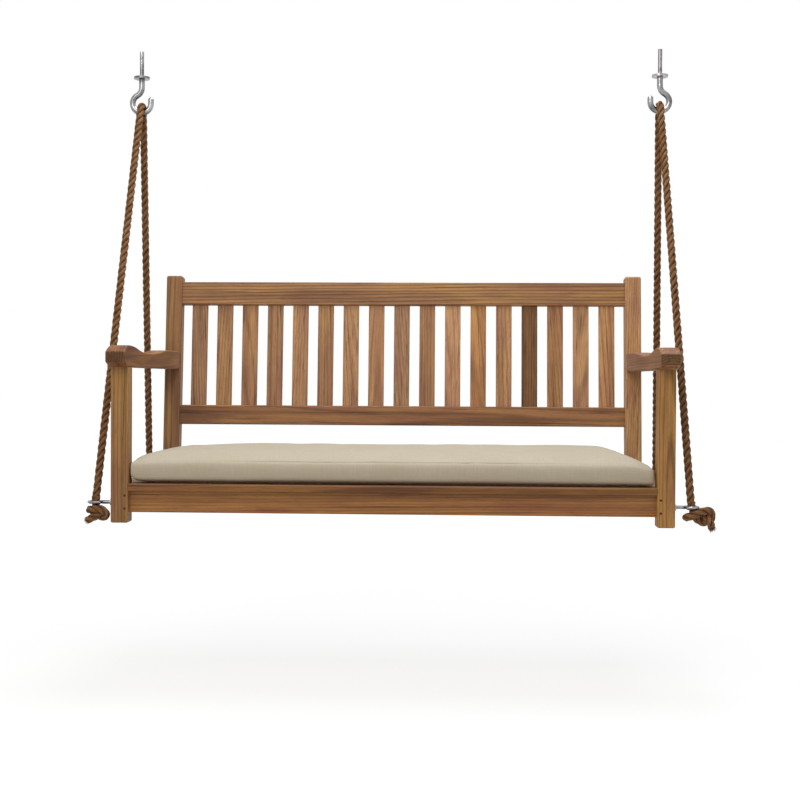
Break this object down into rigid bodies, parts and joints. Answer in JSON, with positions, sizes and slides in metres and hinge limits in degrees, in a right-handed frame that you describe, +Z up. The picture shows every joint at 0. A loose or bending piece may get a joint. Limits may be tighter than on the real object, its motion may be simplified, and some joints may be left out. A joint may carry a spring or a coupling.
{
  "type": "garden swing",
  "caption": "Slatted teak porch swing bench with shaped arms and a loose seat cushion, hung on knotted ropes from ceiling hooks.",
  "frame": {"origin": "on the ceiling plane, midway between the two hook studs, above the seat's centre of mass", "axes": "+Z up along the studs; +X to the right of someone in front of the swing, along the row of studs; -Y towards that person, so the back is on the +Y side"},
  "size_m": [1.3727, 0.6193, 1.1022],
  "materials": {
    "teak": "oiled, satin",
    "cushion": "plain woven canvas",
    "rope": "laid natural fibre",
    "steel": "polished stainless"
  },
  "bodies": {
    "ceiling_hooks": {"ceiling_hook_left": "steel", "ceiling_hook_right": "steel"},
    "swing": {"front_leg_left": "teak", "front_leg_right": "teak", "rear_post_left": "teak", "rear_post_right": "teak", "seat_side_rail_left": "teak", "seat_side_rail_right": "teak", "arm_left": "teak", "arm_right": "teak", "apron_peg_left_lower": "teak", "apron_peg_left_upper": "teak", "apron_peg_right_lower": "teak", "apron_peg_right_upper": "teak", "back_top_rail": "teak", "back_lower_rail": "teak", "back_slat_01": "teak", "back_slat_02": "teak", "back_slat_03": "teak", "back_slat_04": "teak", "back_slat_05": "teak", "back_slat_06": "teak", "back_slat_07": "teak", "back_slat_08": "teak", "back_slat_09": "teak", "back_slat_10": "teak", "back_slat_11": "teak", "back_slat_12": "teak", "back_slat_13": "teak", "back_slat_14": "teak", "back_slat_15": "teak", "back_slat_16": "teak", "back_slat_17": "teak", "seat_apron": "teak", "seat_rear_rail": "teak", "seat_centre_bearer": "teak", "seat_slat_front": "teak", "seat_slat_01": "teak", "seat_slat_02": "teak", "seat_slat_03": "teak", "seat_slat_04": "teak", "seat_slat_05": "teak", "seat_slat_06": "teak", "screw_eye_front_left": "steel", "screw_eye_front_right": "steel", "screw_eye_rear_left": "steel", "screw_eye_rear_right": "steel", "rope_left": "rope", "rope_right": "rope", "knot_front_left": "rope", "knot_front_right": "rope", "knot_rear_left": "rope", "knot_rear_right": "rope"},
    "cushion": {"seat_cushion": "cushion"}
  },
  "joints": [
    {"name": "swing_to_and_fro", "type": "hinge", "parent": "ceiling_hooks", "child": "swing", "pos_m": [0, 0, -0.08511], "axis": [1, 0, 0], "range_deg": [-25, 25]},
    {"name": "cushion_lift", "type": "slide", "parent": "swing", "child": "cushion", "axis": [0, 0, 1], "range_m": [0, 0.32]}
  ]
}
